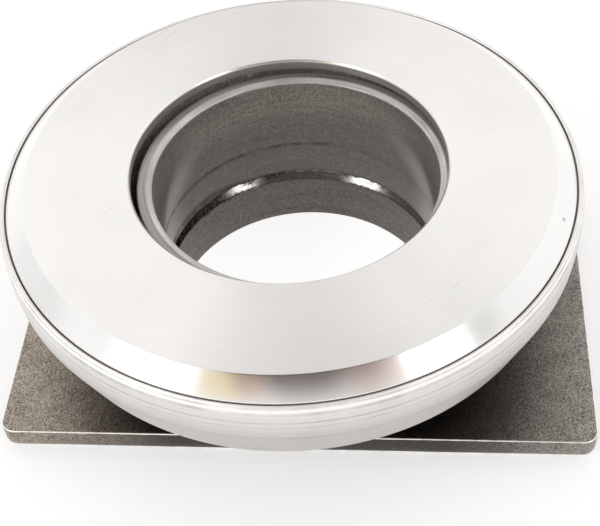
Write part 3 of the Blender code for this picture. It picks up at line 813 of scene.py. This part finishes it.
def make_housing_shell(finish):
    radius, low, high = outline("housing_shell")
    ring_radius, ring_low, ring_high = outline("thrust_ring")
    taper_z = low + SHELL_TAPER_HEIGHT
    band_z = taper_z + SHELL_BAND_HEIGHT
    lip_bore, seal = ring_radius + RUNNING_GAP + GAP_RELIEF, ring_radius + GAP_SEAL
    edge_z = ring_high - RING_CHAMFER_HEIGHT
    cavity = outline("lower_race")[0] + FIT_GAP
    base = cavity + SHELL_BASE_WALL
    seat_z, floor_z, step_z = low + CUP_SEAT_DEPTH, low + SHELL_FLOOR, ring_low - SHELL_STEP_GAP
    cup = outline("retainer_cup")[0]
    cup_out, cup_in = cup + FIT_GAP, cup - CUP_WALL - FIT_GAP
    floor_bore = outline("housing_neck")[0] + FIT_GAP
    corners = [
        (lip_bore + RUNNING_GAP, high, 0.00012), (radius - 0.00035, high - 0.0003, 0.00025),
        (radius, high - 0.0013, 0.0008), (radius, band_z + 0.0012, 0.0003),
        (radius - 0.00003, band_z + 0.0006, 0.0003), (radius, band_z, 0.00012),
        (radius - SHELL_BAND_STEP, taper_z, 0.00020), (base + 0.00005, low + 0.00055, 0.00045),
        (base - 0.00035, low, 0.00025), (cup_out, low, 0.0001), (cup_out, seat_z, 0.0001),
        (cup_in, seat_z, 0.0001), (cup_in, low, 0.0001), (floor_bore, low, 0.00015),
        (floor_bore, floor_z, 0.00015), (cavity, floor_z, 0.0003), (cavity, step_z, 0.0002),
        (seal, step_z, 0.0001), (seal, edge_z - GAP_DEPTH, 0.00004),
        (lip_bore, edge_z - GAP_DEPTH, 0.0001), (lip_bore, edge_z, 0.00008)]
    turn("housing_shell_turned", corners, finish, "bearing_unit", "housing_shell", "shell_steel")


def make_housing_neck(finish):
    radius, low, high = outline("housing_neck")
    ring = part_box("snap_ring")
    groove, inner = radius - NECK_GROOVE_DEPTH, radius - NECK_WALL
    top, bottom = ring[1].z + FIT_GAP, ring[0].z - FIT_GAP
    corners = [
        (radius, high, 0.0003), (radius, top, 0.0001), (groove, top, 0.0001), (groove, bottom, 0.0001),
        (radius, bottom, 0.0001), (radius, low, 0.0002), (inner, low, 0.0003), (inner, high, 0.0003)]
    turn("housing_neck_turned", corners, finish, "bearing_unit", "housing_neck", "shell_steel")


def make_retainer_cup(finish):
    radius, low, high = outline("retainer_cup")
    inner, lip_z = radius - CUP_WALL, low + CUP_LIP_THICKNESS
    lip = inner - CUP_LIP_REACH
    corners = [
        (radius, high, 0.0002), (radius, low, 0.0016), (lip, low, 0.0002), (lip, lip_z, 0.0002),
        (inner, lip_z, 0.0006), (inner, high, 0.0002)]
    turn("retainer_cup_pressed", corners, finish, "bearing_unit", "retainer_cup", "cup_steel")


def make_lower_race(finish):
    radius, low, high = outline("lower_race")
    bore = outline("housing_neck")[0] + FIT_GAP
    corners = [
        (radius, high, 0.0003), (radius, low, 0.0004), (bore, low, 0.0004), (bore, high, 0.0003),
        *ring_groove(math.pi)]
    turn("lower_race_ground", corners, finish, "bearing_unit", "lower_race", "race_steel")


def make_wave_spring(finish):
    outer, low, high = outline("wave_spring")
    inner = outline("hub")[0] - HUB_FLANGE_REACH + SPRING_OVERLAP
    middle, half = (low + high) / 2, SPRING_THICKNESS / 2
    top, bottom = middle + half, middle - half
    corners = [(outer, top, 0.0001), (outer, bottom, 0.0001), (inner, bottom, 0.0001), (inner, top, 0.0001)]
    waves = {"Wave Height": SPRING_WAVE, "Waves": SPRING_WAVES}
    turn("wave_spring_ring", corners, finish, "wave_spring", "wave_spring", "spring_steel", **waves)


def make_hub(finish):
    flange, low, high = outline("hub")
    radius = flange - HUB_FLANGE_REACH
    sleeve, sleeve_low, _ = outline("sleeve")
    socket, bore = sleeve + FIT_GAP, sleeve - SLEEVE_WALL + HUB_BORE_RELIEF
    spigot, cone = radius - HUB_SPIGOT_STEP, bore + HUB_LEAD_WIDTH
    flange_z, shoulder_z = high - HUB_FLANGE_THICKNESS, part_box("guide_plate")[1].z + FIT_GAP
    socket_z = sleeve_low - FIT_GAP
    lead_z = socket_z - HUB_LEAD_HEIGHT
    corners = [
        (flange, high, 0.0004), (flange, flange_z, 0.0004), (radius, flange_z, 0.0006),
        (radius, shoulder_z, 0.0003), (spigot, shoulder_z, 0.0003), (spigot, low, 0.0004),
        (bore, low, 0.0005), (bore, lead_z, 0.0002), (cone, lead_z + HUB_LEAD_WIDTH, 0.0002),
        (cone, socket_z, 0.0002), (socket, socket_z, 0.0003), (socket, high, 0.0003)]
    turn("hub_turned", corners, finish, "carrier", "hub", "hub_steel", axis_x=0.0)


def make_sleeve(finish):
    radius, low, high = outline("sleeve")
    bore, oil_z = radius - SLEEVE_WALL, low + OIL_LINE_HEIGHT
    corners = [
        (radius, high, 0.00035), (radius, low, 0.0002), (bore, low, 0.00035),
        (bore, oil_z - OIL_LINE_DEPTH, 0.00002), (bore + OIL_LINE_DEPTH, oil_z, 0.00004),
        (bore, oil_z + OIL_LINE_DEPTH, 0.00002), (bore, high - SLEEVE_RIM_DROP, 0.00022),
        (bore + SLEEVE_RIM_WIDTH, high, 0.00018)]
    turn("sleeve_honed", corners, finish, "carrier", "sleeve", "sleeve_steel", axis_x=0.0)


# ---- snap ring, balls and cage

def bridge(bm, rings):
    """Faces between neighbouring rings of points."""
    for a, b in zip(rings, rings[1:]):
        for i in range(len(a)):
            j = (i + 1) % len(a)
            bm.faces.new((a[i], a[j], b[j], b[i]))


def keep(bm, name, finish, sharp=SHARP_ANGLE):
    """Make a plain piece of a built mesh."""
    bmesh.ops.recalc_face_normals(bm, faces=bm.faces)
    mesh = bpy.data.meshes.new(name)
    bm.to_mesh(mesh)
    bm.free()
    mesh.shade_smooth()
    mesh.set_sharp_from_angle(angle=math.radians(sharp))
    mesh.materials.append(finish)
    return link(name, mesh)


def make_snap_ring(finish):
    """The split ring: an open turn with its two ends closed."""
    radius, low, high = outline("snap_ring")
    inner = outline("housing_neck")[0] - NECK_GROOVE_DEPTH + FIT_GAP
    start = math.asin(SNAP_RING_SLOT_HALF / radius) + SNAP_RING_END_ANGLE
    corners = [(radius, high, 0.0002), (radius, low, 0.0002), (inner, low, 0.0002), (inner, high, 0.0002)]
    section = [(p[0], p[1]) for p in rounded(corners)]
    bm = bmesh.new()
    rings = []
    for i in range(SNAP_RING_STEPS + 1):
        a = start + (math.tau - 2 * start) * i / SNAP_RING_STEPS
        rings.append([bm.verts.new((UNIT_X + r * math.cos(a), r * math.sin(a), z)) for r, z in section])
    bridge(bm, rings)
    bm.faces.new(rings[0][::-1])
    bm.faces.new(rings[-1])
    settle(keep(bm, "snap_ring_split", finish), "bearing_unit", "snap_ring")


def ball_tree():
    """One ball on the pitch circle, its poles on its rolling axis."""
    n, given, out = new_shape("race_ball", {
        "Radius": 0.0, "Pitch Radius": 0.0, "Angle": 0.0, "Height": 0.0, "Axis X": 0.0})
    pitch, angle = given["Pitch Radius"], given["Angle"]
    ball = n.made("GeometryNodeMeshUVSphere", Segments=2 * BALL_RINGS, Rings=BALL_RINGS, Radius=given["Radius"])
    place = n.combine(n.times_plus(pitch, n.math("COSINE", angle), given["Axis X"]),
                      n.times(pitch, n.math("SINE", angle)), given["Height"])
    move = n.made("GeometryNodeTransform", Geometry=ball, Translation=place,
                  Rotation=n.combine(0.0, math.pi / 2, angle))
    return end_shape(n, given, out, move)


def make_balls(finish):
    tree = ball_tree()
    for node in BALLS:
        place = joint_place(node + "_roll")
        values = {"Radius": BALL_RADIUS, "Pitch Radius": PITCH_RADIUS,
                  "Angle": math.atan2(place.y, place.x - UNIT_X), "Height": BALL_Z,
                  "Axis X": UNIT_X, "Material": finish}
        piece = grow(node + "_polished", bpy.data.meshes.new(node + "_seed"), tree, values)
        settle(piece, node, node)


def cage_tree():
    """A flat ring with a round pocket for each ball."""
    n, given, out = new_shape("ball_cage", {
        "Outer": 0.0, "Inner": 0.0, "Pitch Radius": 0.0, "Pocket": 0.0, "Balls": 0,
        "Base": 0.0, "Thickness": 0.0, "Axis X": 0.0})

    def circle(radius, points):
        return n.made("GeometryNodeCurvePrimitiveCircle", mode="RADIUS", Resolution=points, Radius=radius)

    def joined(parts):
        join = n.add("GeometryNodeJoinGeometry")
        for part in parts:
            n.put(join.inputs[0], part)
        return join.outputs[0]

    pockets = n.made("GeometryNodeInstanceOnPoints", Points=circle(given["Pitch Radius"], given["Balls"]),
                     Instance=circle(given["Pocket"], POCKET_STEPS))
    curves = joined((circle(given["Outer"], CAGE_STEPS), circle(given["Inner"], CAGE_STEPS),
                     n.made("GeometryNodeRealizeInstances", pockets)))
    flat = n.made("GeometryNodeFillCurve", Curve=curves)
    top = n.made("GeometryNodeExtrudeMesh", mode="FACES", Mesh=flat, Offset=n.combine(0.0, 0.0, 1.0),
                 Offset_Scale=given["Thickness"], Individual=False)
    merge = n.made("GeometryNodeMergeByDistance", Distance=MERGE_DISTANCE,
                   Geometry=joined((top, n.made("GeometryNodeFlipFaces", flat))))
    move = n.made("GeometryNodeTransform", Geometry=merge,
                  Translation=n.combine(given["Axis X"], 0.0, given["Base"]))
    return end_shape(n, given, out, move)


def make_cage(finish):
    outer, low, high = outline("ball_cage")
    values = {"Outer": outer, "Inner": 2 * PITCH_RADIUS - outer - CAGE_INNER_RELIEF,
              "Pitch Radius": PITCH_RADIUS, "Pocket": BALL_RADIUS + CAGE_POCKET_GAP, "Balls": len(BALLS),
              "Base": low, "Thickness": high - low, "Axis X": UNIT_X, "Material": finish}
    piece = grow("ball_cage_moulded", bpy.data.meshes.new("cage_seed"), cage_tree(), values)
    settle(piece, "ball_cage", "ball_cage")


# ---- guide plate

def plate_outline(half_x, half_y, step=0.0008, arc_steps=10):
    """Points round the plate's edge, counter-clockwise."""
    points = []
    for x, y, first in ((1, 1, 0), (-1, 1, 90), (-1, -1, 180), (1, -1, 270)):
        cx, cy = x * (half_x - PLATE_CORNER_RADIUS), y * (half_y - PLATE_CORNER_RADIUS)
        angles = [math.radians(first + 90 * k / arc_steps) for k in range(arc_steps + 1)]
        arc = [(cx + PLATE_CORNER_RADIUS * math.cos(a), cy + PLATE_CORNER_RADIUS * math.sin(a))
               for a in angles]
        if points:
            points += straight(points[-1], arc[0], step)
        points += arc
    return points + straight(points[-1], points[0], step)


def straight(a, b, step):
    """Points between two, without its ends."""
    count = max(1, round(math.dist(a, b) / step))
    return [(a[0] + (b[0] - a[0]) * k / count, a[1] + (b[1] - a[1]) * k / count) for k in range(1, count)]


def outward(x, y, half_x, half_y):
    """Direction out of the plate at a point on its edge."""
    dx, dy = (v - max(PLATE_CORNER_RADIUS - half, min(half - PLATE_CORNER_RADIUS, v))
              for v, half in ((x, half_x), (y, half_y)))
    size = math.hypot(dx, dy) or 1.0
    return dx / size, dy / size


def smooth_random(rng, count):
    """A closed run of random values from 0 to 1, with coarse and fine swings."""
    value = [0.0] * count
    for width, weight in ((24, 0.45), (7, 0.35), (2, 0.20)):
        keys = [rng.random() for _ in range(count // width + 1)]
        for i in range(count):
            t = i / width
            a, b = keys[int(t) % len(keys)], keys[(int(t) + 1) % len(keys)]
            f = t - int(t)
            value[i] += weight * (a + (b - a) * f * f * (3 - 2 * f))
    return value


def close_flat(bm, *rings):
    """Fill the flat face between the edge and the bore."""
    edges = [bm.edges.get((vert, ring[(i + 1) % len(ring)])) for ring in rings for i, vert in enumerate(ring)]
    bmesh.ops.triangle_fill(bm, use_beauty=True, use_dissolve=False, edges=edges)


def make_guide_plate(finish):
    """The sheared plate: crisp worn top edge, rolled and ragged lower edge, bored for the hub."""
    low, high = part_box("guide_plate")
    half_x, half_y = (high.x - low.x) / 2, (high.y - low.y) / 2
    bore = outline("hub")[0] - HUB_FLANGE_REACH - HUB_SPIGOT_STEP + FIT_GAP
    levels = (  # inset from the edge, height, wear, raggedness
        (0.00075, high.z, 0.0, 0.0), (0.00026, high.z, 0.05, 0.0), (0.00012, high.z - 0.00004, 1.0, 0.02),
        (0.00004, high.z - 0.00012, 0.8, 0.04), (0.0, high.z - 0.00028, 0.0, 0.06),
        (0.00002, (high.z + low.z) / 2, 0.0, 0.1), (0.00004, low.z + 0.0011, 0.0, 0.5),
        (0.00014, low.z + 0.0006, 0.30, 1.0), (0.00038, low.z + 0.00022, 0.65, 1.0),
        (0.00075, low.z + 0.00004, 0.2, 0.6), (0.0011, low.z, 0.0, 0.2))
    hole_levels = (  # radius, height, wear
        (bore + 0.0004, high.z, 0.2), (bore, high.z - 0.0003, 0.6),
        (bore, low.z + 0.0003, 0.0), (bore + 0.0004, low.z, 0.3))
    edge = plate_outline(half_x, half_y)
    ragged = smooth_random(random.Random(4), len(edge))
    ways = [outward(x, y, half_x, half_y) for x, y in edge]
    turns = [math.tau * k / PLATE_HOLE_STEPS for k in range(PLATE_HOLE_STEPS)]
    bm = bmesh.new()
    wear_layer = bm.verts.layers.float.new("wear")
    crease_layer = bm.verts.layers.float.new("crease")

    def ring_of(points, z, wear, crease):
        ring = [bm.verts.new((x, y, z)) for x, y in points]
        for vert in ring:
            vert[wear_layer], vert[crease_layer] = wear, crease
        return ring

    rings = []
    for inset, z, wear, rough in levels:
        gives = [inset + PLATE_RAGGEDNESS * rough * r for r in ragged]
        points = [(x - g * dx, y - g * dy) for (x, y), (dx, dy), g in zip(edge, ways, gives)]
        rings.append(ring_of(points, z, wear, 0.0))
    holes = [ring_of([(radius * math.cos(a), radius * math.sin(a)) for a in turns], z, wear, 0.4)
             for radius, z, wear in hole_levels]
    bridge(bm, rings)
    bridge(bm, holes)
    close_flat(bm, rings[0], holes[0])
    close_flat(bm, rings[-1], holes[-1])
    settle(keep(bm, "guide_plate_sheared", finish, 32.0), "carrier", "guide_plate")


# ---- stage

def floor():
    """A plain white floor that glows evenly, with a painted pool of brighter glow inside the sleeve."""
    h, z = FLOOR_HALF, CAD_BOX[0][2]
    mesh = bpy.data.meshes.new("floor")
    mesh.from_pydata([(-h, -h, z), (h, -h, z), (h, h, z), (-h, h, z)], [], [(0, 1, 2, 3)])
    f = Finish("floor_white", Base_Color=(0.64, 0.64, 0.636, 1), Roughness=0.8, Specular_IOR_Level=0.2,
               Emission_Strength=1.0)
    bore = outline("sleeve")[0]
    # Painted light: a brighter glow inside the sleeve, which also lights the bore.
    inside = f.spread(f.effect("place", Point=f.point)["Radius"], bore, bore - 0.002)
    f.fill(f.shader, Emission_Color=f.mix(inside, grey(0.46), grey(0.82)))
    mesh.materials.append(f.material)
    link("floor", mesh)


def aim(azimuth, elevation):
    """A direction from two angles in degrees."""
    a, e = math.radians(azimuth), math.radians(elevation)
    return (math.cos(e) * math.cos(a), math.cos(e) * math.sin(a), math.sin(e))


def sky():
    """The white studio round the bearing, with the dark of the camera stand and a lamp on each side of it."""
    world = bpy.data.worlds.new("studio")
    bpy.context.scene.world = world
    world.use_nodes = True
    n = Nodes(world.node_tree)
    way = n.add("ShaderNodeTexCoord").outputs["Generated"]
    up = n.split(way)[2]
    tone = n.mix(n.spread(up, 0.72, 1.0), (1.0, 1.0, 0.995, 1), (0.70, 0.70, 0.695, 1))
    for azimuth, elevation, outer, inner, colour in STUDIO_PATCHES:
        dot = n.add("ShaderNodeVectorMath", way, aim(azimuth, elevation), operation="DOT_PRODUCT")
        near, far = (math.cos(math.radians(a)) for a in (inner, outer))
        tone = n.mix(n.spread(dot.outputs["Value"], far, near, smooth=True), tone, colour + (1,))
    studio = n.tree.nodes["Background"]
    n.fill(studio, Color=tone, Strength=1.0)
    plain = n.made("ShaderNodeBackground", Color=(1.0, 1.0, 1.0, 1))
    seen = n.add("ShaderNodeLightPath").outputs["Is Camera Ray"]
    out = next(o for o in n.tree.nodes if o.type == "OUTPUT_WORLD")
    n.fill(out, Surface=n.made("ShaderNodeMixShader", seen, studio.outputs[0], plain))


def soft_lamp(name, place, size, power):
    """A square soft box turned to the bearing."""
    light = bpy.data.lights.new(name, "AREA")
    light.shape, light.size, light.energy = "SQUARE", size, power
    lamp = link(name, light)
    lamp.location = place
    lamp.rotation_euler = (-Vector(place)).to_track_quat("-Z", "Y").to_euler()
    lamp.visible_camera = False


def camera():
    """The camera at the height and turn that the bearing is looked at from."""
    data = bpy.data.cameras.new("camera")
    data.lens, data.sensor_width = CAMERA_LENS, 36.0
    data.clip_start, data.clip_end = 0.01, 50.0
    stand = link("camera", data)
    turns = [Matrix.Rotation(math.radians(angle), 4, axis)
             for angle, axis in ((CAMERA_TURN, "Z"), (CAMERA_TILT, "X"), (CAMERA_ROLL, "Z"))]
    stand.matrix_world = Matrix.Translation(CAMERA_PLACE) @ turns[0] @ turns[1] @ turns[2]
    bpy.context.scene.camera = stand


def make_pieces():
    """Every piece of the bearing."""
    make_thrust_ring(thrust_steel())
    make_housing_shell(shell_steel())
    make_housing_neck(neck_steel())
    make_retainer_cup(bright_ground("cup_steel", (0.60, 0.59, 0.57), 0.34))
    make_lower_race(bright_ground("race_steel", (0.62, 0.61, 0.60), 0.22))
    make_wave_spring(bright_ground("spring_steel", (0.22, 0.22, 0.25), 0.30))
    make_hub(hub_steel())
    make_sleeve(sleeve_steel())
    make_snap_ring(bright_ground("snap_ring_steel", (0.16, 0.15, 0.15), 0.30))
    make_balls(bright_ground("ball_steel", (0.78, 0.78, 0.77), 0.06))
    make_cage(moulded_polyamide())
    make_guide_plate(plate_steel())


def main():
    bpy.context.scene.view_settings.view_transform = "Standard"
    make_pieces()
    floor()
    sky()
    soft_lamp("left_soft_box", (-0.47, -0.37, 0.52), 0.25, 0.9)
    soft_lamp("right_soft_box", (0.50, -0.31, 0.54), 0.22, 0.4)
    camera()


main()
